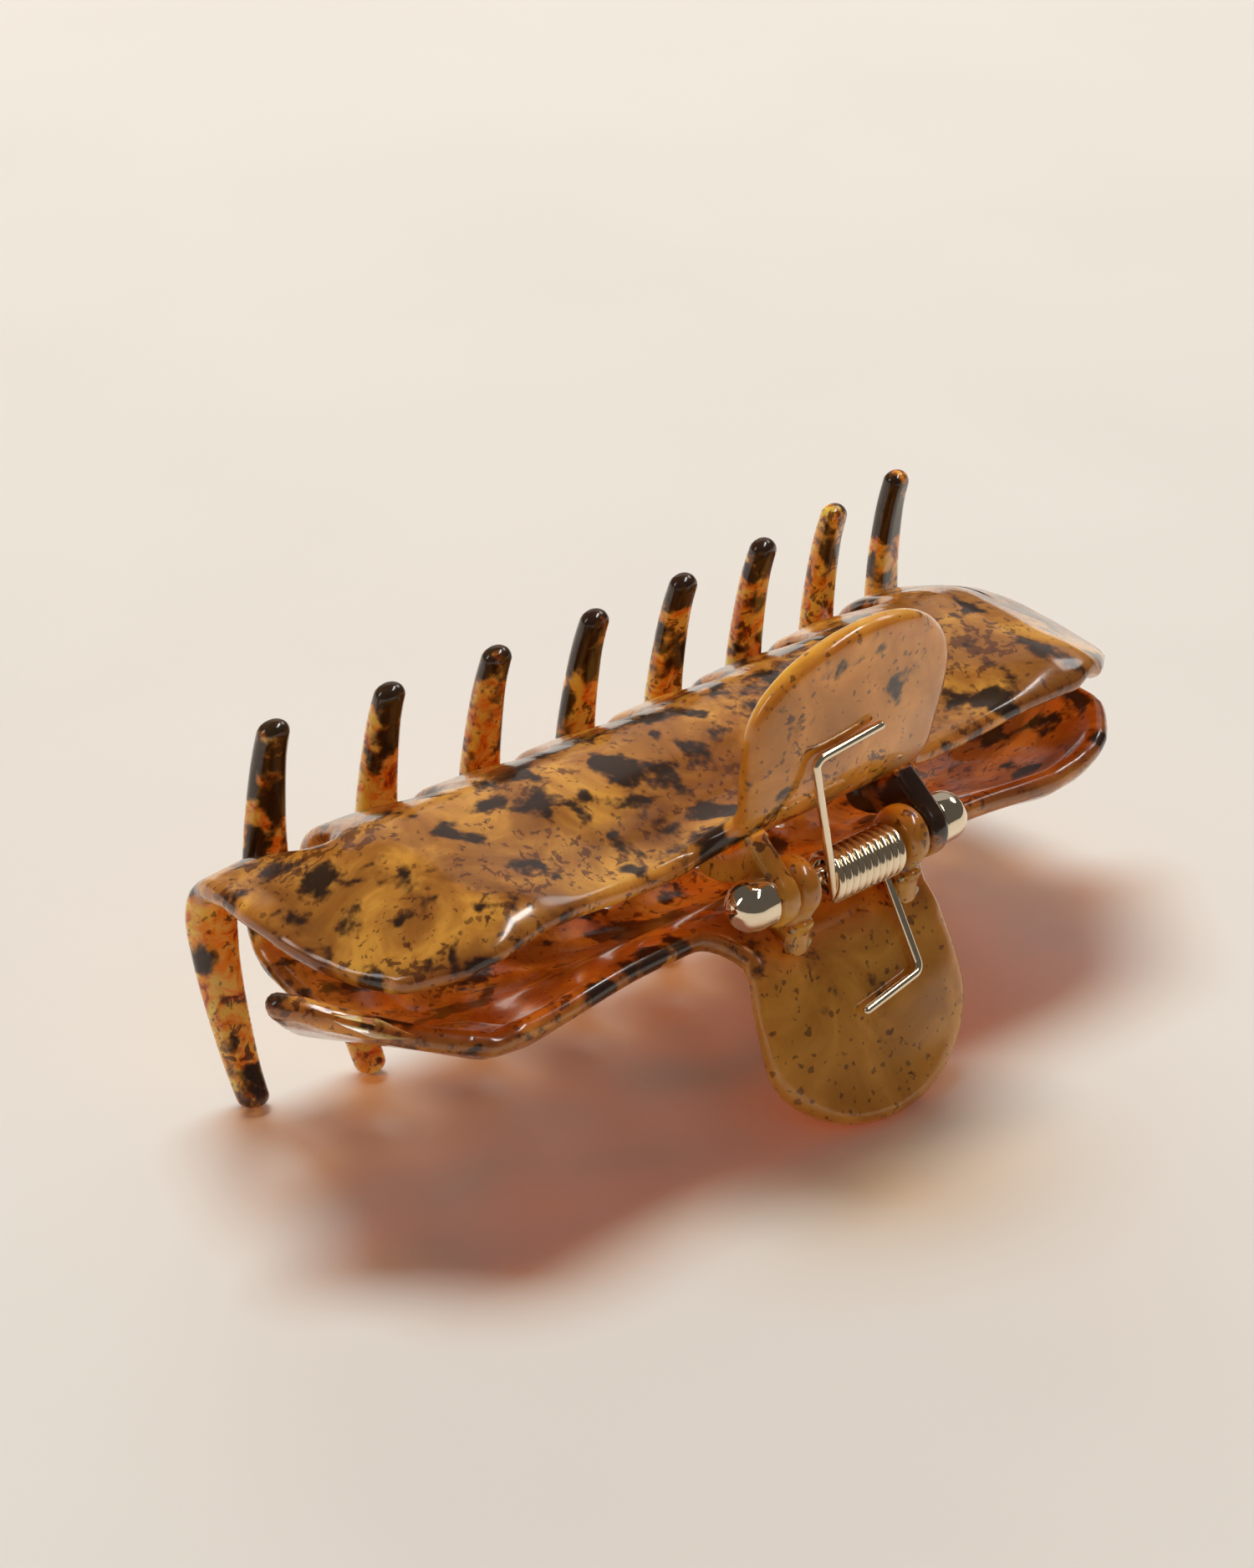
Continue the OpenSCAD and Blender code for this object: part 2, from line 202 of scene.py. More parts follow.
def jaw_columns():
    """Columns of the jaw from its T end: x, the tooth or -1, and the place across the tooth or gap."""
    across = np.sin(np.linspace(-math.pi / 2, math.pi / 2, 13))
    gap = both_ends(2 * FILLET_W, 4, 5)[1:-1]
    x_t = tooth_x(0) + FILLET_W
    x_p = tooth_x(TEETH - 1) + FILLET_W
    cols = []
    for f in one_end(END_T + x_t, 5, 12):
        cols.append((-END_T + (END_T + x_t) * f, 0, 2 * f - 1))
    for k in range(1, TEETH):
        for f in gap:
            cols.append((tooth_x(k) - PITCH + FILLET_W * (1 + 2 * f), -1, f))
        for m in across:
            cols.append((tooth_x(k) + m * FILLET_W, k, m))
    for f in one_end(END_P - x_p, 5, 16)[::-1][1:]:
        cols.append((END_P + (x_p - END_P) * f, -1, 0.5))
    return np.array(cols)


def near_station(x):
    """Station of the body's near edge: the lever's root in the middle, and a free edge beside it."""
    ax = np.abs(x)
    beside = S_EDGE - (S_EDGE - S_LEVER) * (1 - np.clip((ax - PITCH) / LEVER_SIDE, 0, 1)) ** 3
    near = np.where(ax <= PITCH + 1e-3, S_LEVER, beside)
    share_t = np.maximum(ax - LOBE_T, 0) / (END_T - LOBE_T)
    share_p = (ax - LOBE_P) / (END_P - LOBE_P)
    near = np.where(x > LOBE_P, S_EDGE + BACK_P * share_p, near)
    return np.where(x < -LOBE_T, S_EDGE + BACK_T * share_t ** 1.15, near)


def far_station(x, tooth, place):
    """Station of the body's far edge: the tooth roots, with round notches between and a round P corner."""
    up = np.where(x > CORNER_P + 0.1, np.maximum(1 - (x - CORNER_P) / CORNER_W, 0), np.abs(2 * place - 1))
    return np.where(tooth >= 0, S_TEETH, S_GAP + (S_TEETH - S_GAP) * up ** NOTCH_POWER)


def body_x(x, t):
    """Moves the columns beyond the end teeth out to the rounded outline, t of the way across the body."""
    x_t = tooth_x(0) + FILLET_W
    x_p = tooth_x(TEETH - 1) + FILLET_W
    left = x_t + (x - x_t) / (END_T + x_t) * (interp(t, OUT_T) + x_t)
    right = x_p + (x - x_p) / (END_P - x_p) * (interp(t, OUT_P) - x_p)
    return np.where(x < x_t, left, np.where(x > x_p, right, x))


def jaw_grid():
    """Grid on the middle surface: x, station and share of the tooth at its points, and the cells in use."""
    cols = jaw_columns()
    x, tooth, place = cols[:, 0], cols[:, 1].astype(int), cols[:, 2]
    lever_rows = one_end(LEVER_LEN, 6, 24)[:-1]
    body_rows = both_ends(BODY_LEN, 6, 44)
    straight = np.linspace(0, 1, 44)[1:-1] * (1 - TIP_SHARE)
    tip_rows = 1 - TIP_SHARE * (1 - np.sin(np.linspace(0, math.pi / 2, 8)))
    near, far = near_station(x), far_station(x, tooth, place)
    rows = []
    across = np.clip(x / PITCH, -1, 1)
    start = LEVER_ROUND * (1 - np.sqrt(np.maximum(1 - across * across, 0)))
    for f in lever_rows:
        s = start + (S_LEVER - start) * f
        rows.append((across * interp(s, LEVER_HALF), s, 0 * x))
    for t in body_rows:
        rows.append((body_x(x, t), near + (far - near) * t, 0 * x))
    x_root = rows[-1][0]
    for q in np.concatenate([straight, tip_rows]):
        tip = np.clip((q - 1 + TIP_SHARE) / TIP_SHARE, 0, 1)
        half = interp(q, TOOTH_HALF) * math.sqrt(max(1 - tip * tip, 0))
        target = tooth_x(np.maximum(tooth, 0)) + place * half
        # the corner tooth takes longer to narrow from the lobe's full end
        narrowed = np.where(tooth == 0, smooth(0, 0.26, q), smooth(0, 0.09, q))
        s = 0 * x + S_TEETH + (S_TIP - S_TEETH) * q
        rows.append((x_root + (target - x_root) * narrowed, s, 0 * x + q))
    xs, ss, tooth_share = (np.array(part) for part in zip(*rows))
    cells = np.zeros((len(rows) - 1, len(x) - 1), bool)
    lever_from = int(np.argmin(np.abs(x + PITCH)))
    lever_to = int(np.argmin(np.abs(x - PITCH)))
    body_from = len(lever_rows)
    body_to = body_from + len(body_rows) - 1
    cells[:body_from, lever_from:lever_to] = True
    cells[body_from:body_to, :] = True
    cells[body_to:, (tooth[:-1] >= 0) & (tooth[:-1] == tooth[1:])] = True
    return xs, ss, tooth_share, cells


def boundary(cells):
    """Grid edges with sheet on one side only, as pairs of point numbers."""
    n_row, n_col = cells.shape[0] + 1, cells.shape[1] + 1
    pad = np.zeros((n_row + 1, n_col + 1), bool)
    pad[1:-1, 1:-1] = cells
    pairs = []
    for r in range(n_row):
        for c in range(n_col - 1):
            if pad[r, c + 1] != pad[r + 1, c + 1]:
                pairs.append((r * n_col + c, r * n_col + c + 1))
    for r in range(n_row - 1):
        for c in range(n_col):
            if pad[r + 1, c] != pad[r + 1, c + 1]:
                pairs.append((r * n_col + c, (r + 1) * n_col + c))
    return np.array(pairs)


def edge_distance(p, a, b):
    """Distance of each point p to the nearest of the segments a-b."""
    out = np.full(len(p), 1e9)
    ab = b - a
    squared = np.maximum((ab * ab).sum(1), 1e-12)
    for i in range(0, len(p), 400):
        q = p[i:i + 400, None, :] - a[None]
        t = np.clip((q * ab[None]).sum(2) / squared[None], 0, 1)
        d = q - t[..., None] * ab[None]
        out[i:i + 400] = np.sqrt((d * d).sum(2).min(1))
    return out


def half_thickness(points, cells):
    """Half the sheet's thickness at each grid point, which falls to nothing on a round edge."""
    used = np.zeros((cells.shape[0] + 1, cells.shape[1] + 1), bool)
    used[:-1, :-1] |= cells
    used[1:, :-1] |= cells
    used[:-1, 1:] |= cells
    used[1:, 1:] |= cells
    inner = np.zeros(used.shape, bool)
    inner[1:-1, 1:-1] = cells[:-1, :-1] & cells[1:, :-1] & cells[:-1, 1:] & cells[1:, 1:]
    pairs = boundary(cells)
    here = np.flatnonzero(used.ravel())
    radius = SHEET_T / 2
    depth = np.clip(edge_distance(points[here], points[pairs[:, 0]], points[pairs[:, 1]]) / radius, 0, 1)
    half = np.zeros(used.size)
    half[here] = radius * np.sqrt(np.clip(1 - (1 - depth) ** 2, 0, 1))
    half[np.flatnonzero((used & ~inner).ravel())] = 0
    return half


# ---------------------------------------------------------------- making pieces
def new_mesh(name, verts, faces, merge, attributes=None):
    """Closed mesh, with points nearer than merge made one, and its float attributes by name."""
    mesh = bpy.data.meshes.new(name)
    mesh.from_pydata([tuple(v) for v in verts], [], faces)
    for key, values in (attributes or {}).items():
        set_attribute(mesh, key, values)
    bm = bmesh.new()
    bm.from_mesh(mesh)
    bmesh.ops.remove_doubles(bm, verts=bm.verts, dist=merge)
    bmesh.ops.dissolve_degenerate(bm, edges=bm.edges, dist=1e-7)
    bmesh.ops.recalc_face_normals(bm, faces=bm.faces)
    bm.to_mesh(mesh)
    bm.free()
    return mesh


def set_attribute(mesh, name, values):
    a = mesh.attributes.new(name, "FLOAT", "POINT")
    a.data.foreach_set("value", np.asarray(values, np.float32))


def add_piece(name, mesh, material, body, nodes):
    """Puts a mesh drawn on the clip's own axes into the scene, and says what it rides on and stands for."""
    for poly in mesh.polygons:
        poly.use_smooth = True
    mesh.materials.append(material)
    mesh.transform(POSE)
    obj = bpy.data.objects.new(name, mesh)
    bpy.context.scene.collection.objects.link(obj)
    if body:
        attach(obj, body)
    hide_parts(*nodes)
    return obj


def jaw(name, turn, material, body, nodes):
    """A jaw: both faces of the sheet, half a thickness off its middle surface, meet on a rolled edge."""
    xs, ss, tooth_share, cells = jaw_grid()
    n_col = xs.shape[1]
    x, s = xs.ravel(), ss.ravel()
    mid = middle(x, s)
    half = half_thickness(mid, cells)
    off = normals(x, s) * half[:, None]
    sides = [(mid + off) * turn * MM, (mid - off) * turn * MM]
    tooth_at = tooth_share.ravel()
    lever_at = 1 - smooth(*LEVER_FADE, s)
    ids, verts, tooth, lever, faces = {}, [], [], [], []

    def point(i, side):
        key = (i, side if half[i] else 0)
        if key not in ids:
            ids[key] = len(verts)
            verts.append(sides[key[1]][i])
            tooth.append(tooth_at[i])
            lever.append(lever_at[i])
        return ids[key]

    for r, c in zip(*np.nonzero(cells)):
        i = int(r) * n_col + int(c)
        for side in (0, 1):
            corners = [point(j, side) for j in (i, i + n_col, i + n_col + 1, i + 1)]
            face = list(dict.fromkeys(corners))
            if len(face) > 2:
                faces.append(face if side == 0 else face[::-1])
    mesh = new_mesh(name, verts, faces, 2e-6, {"tooth": tooth, "lever": lever})
    return add_piece(name, mesh, material, body, nodes)


def rounded(points, steps=6):
    """Closed polygon with its corners cut to arcs: points are (u, v, radius)."""
    out = []
    for i, (u, v, radius) in enumerate(points):
        corner = Vector((u, v))
        a = Vector(points[i - 1][:2]) - corner
        b = Vector(points[(i + 1) % len(points)][:2]) - corner
        tan = math.tan(a.angle(b) / 2)
        sin = math.sin(a.angle(b) / 2)
        cut = min(radius / tan, a.length * 0.48, b.length * 0.48)
        a.normalize()
        b.normalize()
        centre = corner + (a + b).normalized() * (cut * tan / sin)
        first = corner + a * cut - centre
        total = first.angle_signed(corner + b * cut - centre)
        for j in range(steps + 1):
            spoke = first.copy()
            spoke.rotate(Matrix.Rotation(-total * j / steps, 2))
            out.append((centre.x + spoke.x, centre.y + spoke.y))
    return out


def eye(radius, start, end, steps=28):
    """Arc round the pin between two angles in degrees."""
    angles = [math.radians(start + (end - start) * i / steps) for i in range(steps + 1)]
    return [(radius * math.cos(a), radius * math.sin(a)) for a in angles]


def plate(name, outline, x0, thickness, edge, lever, material, body, nodes):
    """Lug across the pin with rolled edges. lever says how much of the levers' pale honey it has."""
    bm = bmesh.new()
    face = bm.faces.new([bm.verts.new((x0 * MM, u * MM, v * MM)) for u, v in outline])
    grown = bmesh.ops.extrude_face_region(bm, geom=[face])
    moved = [g for g in grown["geom"] if isinstance(g, bmesh.types.BMVert)]
    bmesh.ops.translate(bm, verts=moved, vec=(thickness * MM, 0, 0))
    bmesh.ops.recalc_face_normals(bm, faces=bm.faces)
    rims = [e for e in bm.edges if len(e.link_faces) == 2 and max(len(f.verts) for f in e.link_faces) > 4
            and min(len(f.verts) for f in e.link_faces) == 4]
    bmesh.ops.bevel(bm, geom=rims, offset=edge * MM, segments=5, profile=0.5, affect="EDGES")
    bmesh.ops.triangulate(bm, faces=[f for f in bm.faces if len(f.verts) > 4])
    mesh = bpy.data.meshes.new(name)
    bm.to_mesh(mesh)
    bm.free()
    set_attribute(mesh, "lever", [lever] * len(mesh.vertices))
    return add_piece(name, mesh, material, body, nodes)


def ring_faces(n_ring, sides):
    """Faces of a closed tube of rings."""
    faces = []
    for i in range(n_ring - 1):
        for j in range(sides):
            k = (j + 1) % sides
            faces.append((i * sides + j, i * sides + k, (i + 1) * sides + k, (i + 1) * sides + j))
    faces.append(tuple(range(sides)))
    faces.append(tuple((n_ring - 1) * sides + j for j in range(sides))[::-1])
    return faces


def revolve(name, section, material, node_name, sides=64):
    """Solid of revolution about the pin: section is (x, radius) from end to end."""
    verts = []
    for x, radius in section:
        for j in range(sides):
            a = 2 * math.pi * j / sides
            verts.append((x * MM, radius * math.cos(a) * MM, radius * math.sin(a) * MM))
    mesh = new_mesh(name, verts, ring_faces(len(section), sides), 2e-7)
    return add_piece(name, mesh, material, "upper", [node_name])


def cap_section():
    """Half section of a cap, from its back to its crown: distance outwards and radius."""
    out = [(0, CAP_BACK), (0, CAP_R - CAP_EDGE)]
    for degrees in range(15, 91, 15):
        a = math.radians(degrees)
        out.append((CAP_EDGE * (1 - math.cos(a)), CAP_R - CAP_EDGE * (1 - math.sin(a))))
    out.append((CAP_RIM, CAP_R))
    for degrees in range(6, 90, 6):
        a = math.radians(degrees)
        out.append((CAP_RIM + CAP_DOME * math.sin(a), CAP_R * math.cos(a)))
    return out + [(CAP_RIM + CAP_DOME, 0.02)]


def wire(name, points, body, node_name, sides=16):
    """Round gold wire along a line of points, with domed ends."""
    points = [Vector(p) for p in points]
    last = len(points) - 1
    radius = WIRE_D / 2
    tangents = [(points[min(i + 1, last)] - points[max(i - 1, 0)]).normalized() for i in range(last + 1)]
    across = Vector((0.3, 1, 0.2)).cross(tangents[0]).normalized()
    angles = [2 * math.pi * j / sides for j in range(sides)]
    rings = []
    for p, t in zip(points, tangents):
        across = (across - t * across.dot(t)).normalized()
        other = t.cross(across)
        rings.append([p + (across * math.cos(a) + other * math.sin(a)) * radius for a in angles])

    def dome(i, t):
        out = []
        for degrees in (25, 50, 70, 85):
            a = math.radians(degrees)
            base = points[i] + t * (radius * math.sin(a))
            out.append([base + (v - points[i]) * math.cos(a) for v in rings[i]])
        return out

    rings = dome(0, -tangents[0])[::-1] + rings + dome(-1, tangents[-1])
    verts = [v * MM for ring in rings for v in ring]
    mesh = new_mesh(name, verts, ring_faces(len(rings), sides), 2e-7)
    return add_piece(name, mesh, gold_wire, body, [node_name])


def coil_points(steps_per_turn=40):
    steps = int(COIL_TURNS * steps_per_turn)
    out = []
    for i in range(steps + 1):
        f = i / steps
        a = COIL_START + 2 * math.pi * COIL_TURNS * f
        x = COIL_X[1] + (COIL_X[0] - COIL_X[1]) * f
        out.append((x, COIL_U + COIL_R * math.cos(a), COIL_V + COIL_R * math.sin(a)))
    return out


def arm_points(start, turn, steps=10):
    """Spring arm from the coil along its lever, round its corner and across the lever to its free end."""
    start = Vector(start)
    corner = Vector(ARM_BEND) * Vector(turn)
    hook = Vector(ARM_HOOK) * Vector(turn)
    a, b = (start - corner).normalized(), (hook - corner).normalized()
    angle = a.angle(b)
    cut = ARM_BEND_R / math.tan(angle / 2)
    centre = corner + (a + b).normalized() * (ARM_BEND_R / math.sin(angle / 2))
    first, last = corner + a * cut - centre, corner + b * cut - centre
    return [start] + [centre + first.slerp(last, i / steps) for i in range(steps + 1)] + [hook]


# ---------------------------------------------------------------- materials
# Linear colours of the acetate
BROWN_HONEY = (0.28, 0.095, 0.012)
AMBER = (0.47, 0.190, 0.026)
YELLOW_AMBER = (0.78, 0.39, 0.060)
# The teeth's own amber, brightened into a painted glow of the light that shines through the thin teeth
TOOTH_GLOW_RED = (0.42, 0.080, 0.005)
TOOTH_GLOW_ORANGE = (0.90, 0.36, 0.025)
TOOTH_GLOW_YELLOW = (1.0, 0.70, 0.14)
LEVER_HONEY = (0.60, 0.265, 0.018)
LEVER_YELLOW = (0.84, 0.46, 0.070)
RED_BROWN = (0.12, 0.030, 0.007)
CLOUD_BROWN = (0.150, 0.042, 0.009)
CLOUD_BLACK = (0.026, 0.011, 0.005)
SPECK_BROWN = (0.10, 0.026, 0.007)
# What the acetate lets through where it casts a shadow
CLEAR_AMBER = (0.74, 0.44, 0.15)
CLEAR_BLACK = (0.20, 0.09, 0.03)
CLEAR_LEVER = (0.94, 0.86, 0.74)
GOLD = (0.90, 0.77, 0.58)


def clear_material(name):
    m = bpy.data.materials.new(name)
    m.use_nodes = True
    m.node_tree.nodes.clear()
    return m


def node(nt, kind, **props):
    n = nt.nodes.new(kind)
    for k, v in props.items():
        setattr(n, k, v)
    return n


def set_inputs(n, values):
    for key, value in values.items():
        n.inputs[key].default_value = value


def coords(nt, offset=(0, 0, 0)):
    """Place on the piece in millimetres, so that a texture's scale is per millimetre."""
    tc = node(nt, "ShaderNodeTexCoord")
    mp = node(nt, "ShaderNodeMapping")
    set_inputs(mp, {"Location": offset, "Scale": (1 / MM, 1 / MM, 1 / MM)})
    nt.links.new(tc.outputs["Object"], mp.inputs["Vector"])
    return mp.outputs["Vector"]


def noise(nt, vec, scale, detail=4.0, rough=0.55, distortion=0.0):
    n = node(nt, "ShaderNodeTexNoise")
    set_inputs(n, {"Scale": scale, "Detail": detail, "Roughness": rough, "Distortion": distortion})
    nt.links.new(vec, n.inputs["Vector"])
    return n.outputs["Fac"]


def ramp(nt, fac, stops):
    n = node(nt, "ShaderNodeValToRGB")
    el = n.color_ramp.elements
    while len(el) > 1:
        el.remove(el[-1])
    el[0].position, el[0].color = stops[0][0], (*stops[0][1], 1)
    for pos, col in stops[1:]:
        e = el.new(pos)
        e.color = (*col, 1)
    nt.links.new(fac, n.inputs["Fac"])
    return n.outputs["Color"]


def maths(nt, op, a, b):
    n = node(nt, "ShaderNodeMath", operation=op)
    for i, v in enumerate((a, b)):
        if isinstance(v, (int, float)):
            n.inputs[i].default_value = v
        else:
            nt.links.new(v, n.inputs[i])
    return n.outputs[0]


def times(nt, value, factor):
    return maths(nt, "MULTIPLY", value, factor)


def plus(nt, value, other):
    return maths(nt, "ADD", value, other)


def sway(nt, value, by, amount):
    """Value moved up and down by a noise that lies around a half."""
    return plus(nt, value, times(nt, maths(nt, "SUBTRACT", by, 0.5), amount))


def mix(nt, fac, a, b):
    n = node(nt, "ShaderNodeMix", data_type="RGBA")
    for sock, v in ((0, fac), (6, a), (7, b)):
        if isinstance(v, tuple):
            n.inputs[sock].default_value = (*v, 1)
        else:
            nt.links.new(v, n.inputs[sock])
    return n.outputs[2]


def step(nt, fac, lo, hi):
    n = node(nt, "ShaderNodeMapRange", interpolation_type="SMOOTHSTEP")
    set_inputs(n, {"From Min": lo, "From Max": hi})
    nt.links.new(fac, n.inputs["Value"])
    return n.outputs["Result"]


def attribute(nt, name):
    return node(nt, "ShaderNodeAttribute", attribute_name=name).outputs["Fac"]


def bump(nt, height, strength, distance, shader):
    b = node(nt, "ShaderNodeBump")
    set_inputs(b, {"Strength": strength, "Distance": distance})
    nt.links.new(height, b.inputs["Height"])
    nt.links.new(b.outputs["Normal"], shader.inputs["Normal"])


def output(nt, shader):
    out = node(nt, "ShaderNodeOutputMaterial")
    nt.links.new(shader, out.inputs["Surface"])


def specks(nt, vec):
    """Fine ragged dots, thicker in some places than in others."""
    cells = node(nt, "ShaderNodeTexVoronoi", feature="F1")
    set_inputs(cells, {"Scale": 0.8, "Randomness": 1.0})
    wobble = node(nt, "ShaderNodeTexNoise")
    wobble.inputs["Scale"].default_value = 1.6
    warped = node(nt, "ShaderNodeVectorMath", operation="ADD")
    nt.links.new(vec, wobble.inputs["Vector"])
    nt.links.new(vec, warped.inputs[0])
    nt.links.new(wobble.outputs["Color"], warped.inputs[1])
    nt.links.new(warped.outputs[0], cells.inputs["Vector"])
    size = times(nt, noise(nt, vec, 0.45, 2, 0.5), 0.62)
    return step(nt, maths(nt, "SUBTRACT", size, cells.outputs["Distance"]), 0.10, 0.15)


def acetate(name, offset, dark=0.0):
    """Tortoiseshell acetate: amber with brown-black clouds in clusters, red-brown flecks and fine specks."""
    m = clear_material(name)
    nt = m.node_tree
    vec = coords(nt, offset)
    tooth, lever = attribute(nt, "tooth"), attribute(nt, "lever")
    on_tooth = step(nt, tooth, 0.0, 0.12)
    # amber that drifts from brown honey to yellow, teeth brightened with a painted glow of the light that
    # shines through them over their own amber, and honey levers
    drift = noise(nt, vec, 0.12, 4, 0.55, 0.8)
    amber = ramp(nt, drift, [(0.32, BROWN_HONEY), (0.5, AMBER), (0.66, YELLOW_AMBER)])
    painted_tooth_glow = ramp(nt, noise(nt, vec, 0.42, 6, 0.65, 0.8),
                [(0.34, TOOTH_GLOW_RED), (0.44, TOOTH_GLOW_ORANGE), (0.56, TOOTH_GLOW_YELLOW)])
    honey = ramp(nt, drift, [(0.35, LEVER_HONEY), (0.65, LEVER_YELLOW)])
    base = mix(nt, times(nt, lever, 0.85), mix(nt, on_tooth, amber, painted_tooth_glow), honey)
    # red-brown flecks, fewer on the levers
    fleck = sway(nt, noise(nt, vec, 0.75, 5, 0.6, 0.6), noise(nt, vec, 0.10, 2, 0.5), 0.5)
    fleck = plus(nt, fleck, times(nt, lever, -0.035))
    col = mix(nt, times(nt, step(nt, fleck, 0.585, 0.64), 0.8), base, RED_BROWN)
    # brown halo and near-black core of the clouds, fewer on the levers and more at the tooth tips
    cloud = sway(nt, noise(nt, vec, 0.24, 3, 0.5, 0.25), noise(nt, vec, 0.075, 2, 0.5), 0.60)
    cloud = sway(nt, cloud, noise(nt, vec, 1.0, 6, 0.7), 0.17)
    cloud = plus(nt, cloud, times(nt, lever, -0.11))
    cloud = plus(nt, cloud, times(nt, step(nt, tooth, 0.55, 0.9), 0.20))
    cloud = plus(nt, cloud, times(nt, on_tooth, -0.05))
    cloud = plus(nt, cloud, dark)
    halo, core = step(nt, cloud, 0.50, 0.60), step(nt, cloud, 0.54, 0.625)
    col = mix(nt, times(nt, halo, 0.70), col, CLOUD_BROWN)
    col = mix(nt, times(nt, core, 0.93), col, CLOUD_BLACK)
    col = mix(nt, times(nt, specks(nt, vec), 0.6), col, SPECK_BROWN)
    p = node(nt, "ShaderNodeBsdfPrincipled")
    nt.links.new(col, p.inputs["Base Color"])
    set_inputs(p, {"Subsurface Weight": 0.85, "Subsurface Radius": (1.0, 0.62, 0.35),
                   "Subsurface Scale": 0.004, "IOR": 1.49, "Coat Weight": 0.45, "Coat Roughness": 0.09})
    rough = ramp(nt, noise(nt, vec, 1.1, 4), [(0.3, (0.15, 0.15, 0.15)), (0.7, (0.22, 0.22, 0.22))])
    nt.links.new(rough, p.inputs["Roughness"])
    bump(nt, noise(nt, vec, 0.5, 3), 0.03, 0.0003, p)
    # lamps shine through the sheet and tint its shadow
    shade = mix(nt, times(nt, core, 0.8), CLEAR_AMBER, CLEAR_BLACK)
    shade = mix(nt, times(nt, lever, 0.75), shade, CLEAR_LEVER)
    clear = node(nt, "ShaderNodeBsdfTransparent")
    nt.links.new(shade, clear.inputs["Color"])
    path = node(nt, "ShaderNodeLightPath")
    both = node(nt, "ShaderNodeMixShader")
    nt.links.new(path.outputs["Is Shadow Ray"], both.inputs[0])
    nt.links.new(p.outputs["BSDF"], both.inputs[1])
    nt.links.new(clear.outputs["BSDF"], both.inputs[2])
    output(nt, both.outputs["Shader"])
    return m


def gold(name, roughness):
    """Pale polished gold with faint mottling and uneven gloss."""
    m = clear_material(name)
    nt = m.node_tree
    vec = coords(nt)
    p = node(nt, "ShaderNodeBsdfPrincipled")
    p.inputs["Metallic"].default_value = 1.0
    col = ramp(nt, noise(nt, vec, 0.8, 4), [(0.3, tuple(c * 0.94 for c in GOLD)), (0.7, GOLD)])
    nt.links.new(col, p.inputs["Base Color"])
    rough = ramp(nt, noise(nt, vec, 2.2, 5), [(0.3, (roughness * 0.7,) * 3), (0.7, (roughness * 1.4,) * 3)])
    nt.links.new(rough, p.inputs["Roughness"])
    bump(nt, noise(nt, vec, 3.0, 3), 0.03, 0.0001, p)
    output(nt, p.outputs["BSDF"])
    return m


def paper():
    """Matt warm white floor with a faint drift in its tone."""
    m = clear_material("paper_floor")
    nt = m.node_tree
    p = node(nt, "ShaderNodeBsdfPrincipled")
    col = ramp(nt, noise(nt, coords(nt), 0.02, 2), [(0.3, (0.80, 0.755, 0.70)), (0.7, (0.82, 0.775, 0.72))])
    nt.links.new(col, p.inputs["Base Color"])
    set_inputs(p, {"Roughness": 0.75, "Specular IOR Level": 0.25})
    output(nt, p.outputs["BSDF"])
    return m


acetate_body = acetate("tortoiseshell_acetate", (3.0, 7.0, 1.0))
acetate_lug = acetate("tortoiseshell_lug", (40.0, 3.0, 9.0), dark=-0.14)
acetate_dark = acetate("tortoiseshell_dark", (11.0, 31.0, 5.0), dark=0.16)
gold_cap = gold("gold_cap", 0.05)
gold_wire = gold("gold_wire", 0.12)

# ---------------------------------------------------------------- pieces
jaw("jaw_upper", AS_DRAWN, acetate_body, "upper", ["upper_jaw"])
jaw("jaw_lower", HALF_TURN, acetate_body, "lower", ["lower_jaw"])

# Lug outlines: an eye round the pin, then a foot on the sheet, as corners (u, v, radius)
OUTER_FOOT = [(4.0, 0.45, 0.5), (6.0, 0.0, 1.2), (8.6, 0.0, 1.6), (9.4, 2.2, 1.0), (9.2, 3.9, 0.3),
              (6.3, 3.5, 0.5), (4.4, 3.9, 0.5), (2.3, 5.4, 0.5), (1.0, 6.4, 0.4)]
INNER_FOOT = [(-2.2, -3.2, 0.8), (-1.2, -4.6, 0.6), (-0.7, -6.9, 0.3), (1.2, -6.1, 0.4), (3.4, -4.6, 0.4),
              (4.2, -3.8, 0.6), (3.1, -2.6, 1.0)]
outer_outline = eye(2.9, 138, 392) + rounded(OUTER_FOOT)
inner_outline = eye(3.1, -28, 208) + rounded(INNER_FOOT)

# The honey lugs come from a pale part of the sheet, as the levers do, and the right outer lug from a dark one
plate("lug_outer_left_look", outer_outline, -OUTER_X - OUTER_T, OUTER_T, OUTER_EDGE, 0.8, acetate_lug,
      "upper", ["lug_outer_left"])
plate("lug_outer_right_look", outer_outline, OUTER_X, OUTER_T, OUTER_EDGE, 0.0, acetate_dark,
      "upper", ["lug_outer_right"])
for side, x0 in (("left", -INNER_X - INNER_T), ("right", INNER_X)):
    plate("lug_inner_" + side + "_look", inner_outline, x0, INNER_T, INNER_EDGE, 0.6, acetate_lug, "lower",
          ["lug_inner_" + side])

cap_x = OUTER_X + OUTER_T + CAP_GAP
for side, sign in (("right", 1), ("left", -1)):
    section = [(sign * (cap_x + x), r) for x, r in cap_section()]
    revolve("cap_" + side + "_look", section, gold_cap, "cap_" + side)
revolve("pin_look", [(-cap_x - 1, PIN_D / 2), (cap_x + 1, PIN_D / 2)], gold_wire, "hinge_pin", sides=32)

coil = coil_points()
coil_piece = wire("spring_coil_look", coil, None, "spring_coil")
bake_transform(coil_piece)
wire("spring_arm_upper_look", arm_points(coil[-1], AS_DRAWN), "upper", "spring_arm_upper")
wire("spring_arm_lower_look", arm_points(coil[0], HALF_TURN), "lower", "spring_arm_lower")

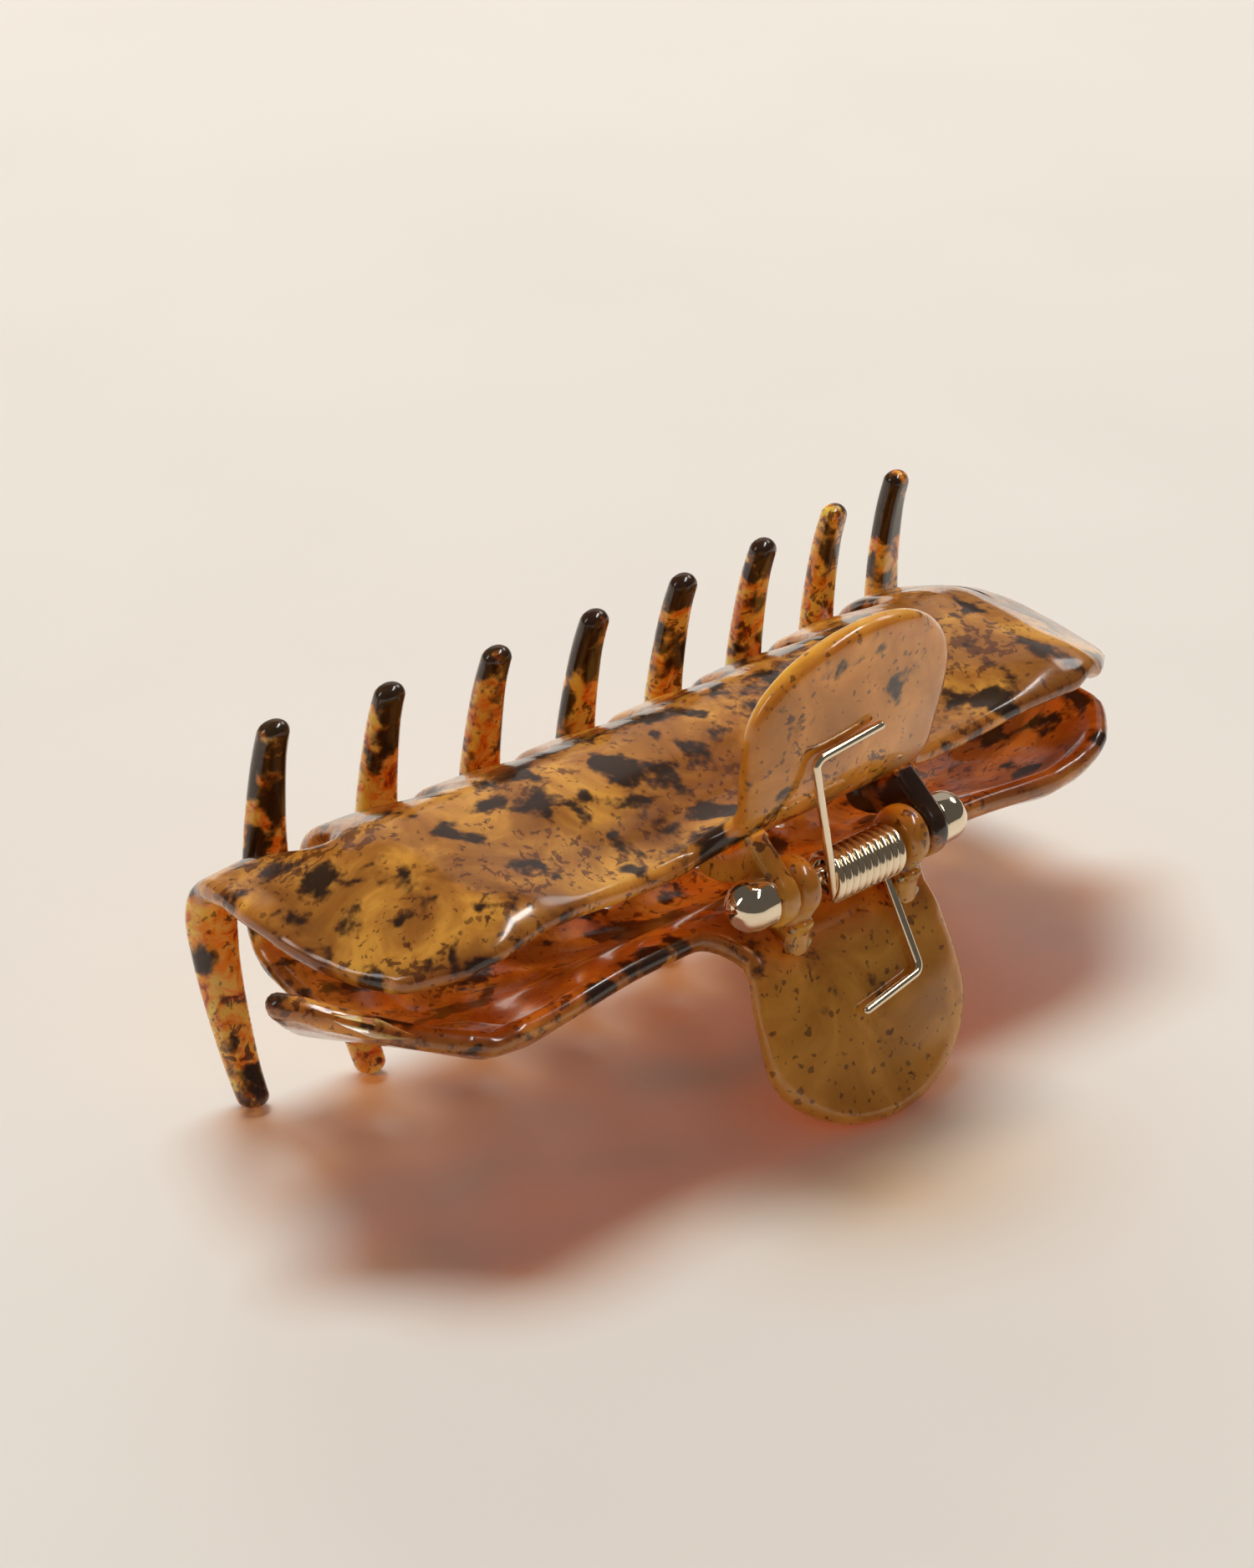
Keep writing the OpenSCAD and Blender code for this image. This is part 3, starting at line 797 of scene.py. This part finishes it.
# ---------------------------------------------------------------- stage
bm = bmesh.new()
bmesh.ops.create_grid(bm, x_segments=1, y_segments=1, size=6)
floor_mesh = bpy.data.meshes.new("floor")
bm.to_mesh(floor_mesh)
bm.free()
floor_mesh.materials.append(paper())
floor = bpy.data.objects.new("floor", floor_mesh)
bpy.context.scene.collection.objects.link(floor)

# Soft lamps: azimuth (0 = +Y, 90 = +X) and elevation in degrees, distance and size in metres, watts,
# colour, and whether they light the scene, show in its reflections, or both
WARM, WARMER, NEUTRAL = (1.0, 0.97, 0.93), (1.0, 0.95, 0.88), (1.0, 0.98, 0.95)
LAMPS = [("key_window", 20, 62, 2.4, (1.5, 0.75), 52.0, WARM, "light"),
         ("front_fill", 205, 40, 2.4, (1.6, 1.0), 2.0, WARMER, "light"),
         ("back_glow", 35, 18, 2.4, (1.2, 0.6), 16.0, WARM, "light"),
         ("back_panel", 48, 34, 2.4, (3.2, 1.6), 4.0, (1.0, 0.97, 0.94), "both"),
         ("fold_strip", 132, 62, 1.2, (0.90, 0.14), 5.5, NEUTRAL, "reflection"),
         ("right_window", 90, 38, 1.2, (0.45, 0.30), 1.2, NEUTRAL, "reflection"),
         ("left_edge", -70, 30, 1.2, (0.20, 0.70), 1.6, NEUTRAL, "reflection")]
LAMP_AIM = Vector((0, 0.015, 0.02))

for name, azimuth, elevation, distance, size, power, colour, use in LAMPS:
    a, e = math.radians(azimuth), math.radians(elevation)
    direction = Vector((math.sin(a) * math.cos(e), math.cos(a) * math.cos(e), math.sin(e)))
    light = bpy.data.lights.new(name, "AREA")
    light.shape = "ELLIPSE"
    light.size, light.size_y = size
    light.energy = power
    light.color = colour
    lamp = bpy.data.objects.new(name, light)
    lamp.location = LAMP_AIM + direction * distance
    lamp.rotation_euler = (-direction).to_track_quat("-Z", "Y").to_euler()
    lamp.visible_glossy = use != "light"
    lamp.visible_diffuse = use != "reflection"
    bpy.context.scene.collection.objects.link(lamp)

world = bpy.data.worlds.new("studio")
world.use_nodes = True
set_inputs(world.node_tree.nodes["Background"], {"Color": (1.0, 0.93, 0.85, 1), "Strength": 0.10})
bpy.context.scene.world = world

# The camera's place is in metres, and its turns are in degrees
camera = bpy.data.cameras.new("camera")
camera.sensor_fit = "HORIZONTAL"
camera.sensor_width = 36.0
camera.lens = 121.24
cam = bpy.data.objects.new("camera", camera)
cam.location = (-0.254256, -0.226689, 0.222647)
cam.rotation_euler = Euler([math.radians(a) for a in (60.6129, -2.1716, -43.5444)], "XYZ")
bpy.context.scene.collection.objects.link(cam)
bpy.context.scene.camera = cam
bpy.context.scene.view_settings.view_transform = "Standard"
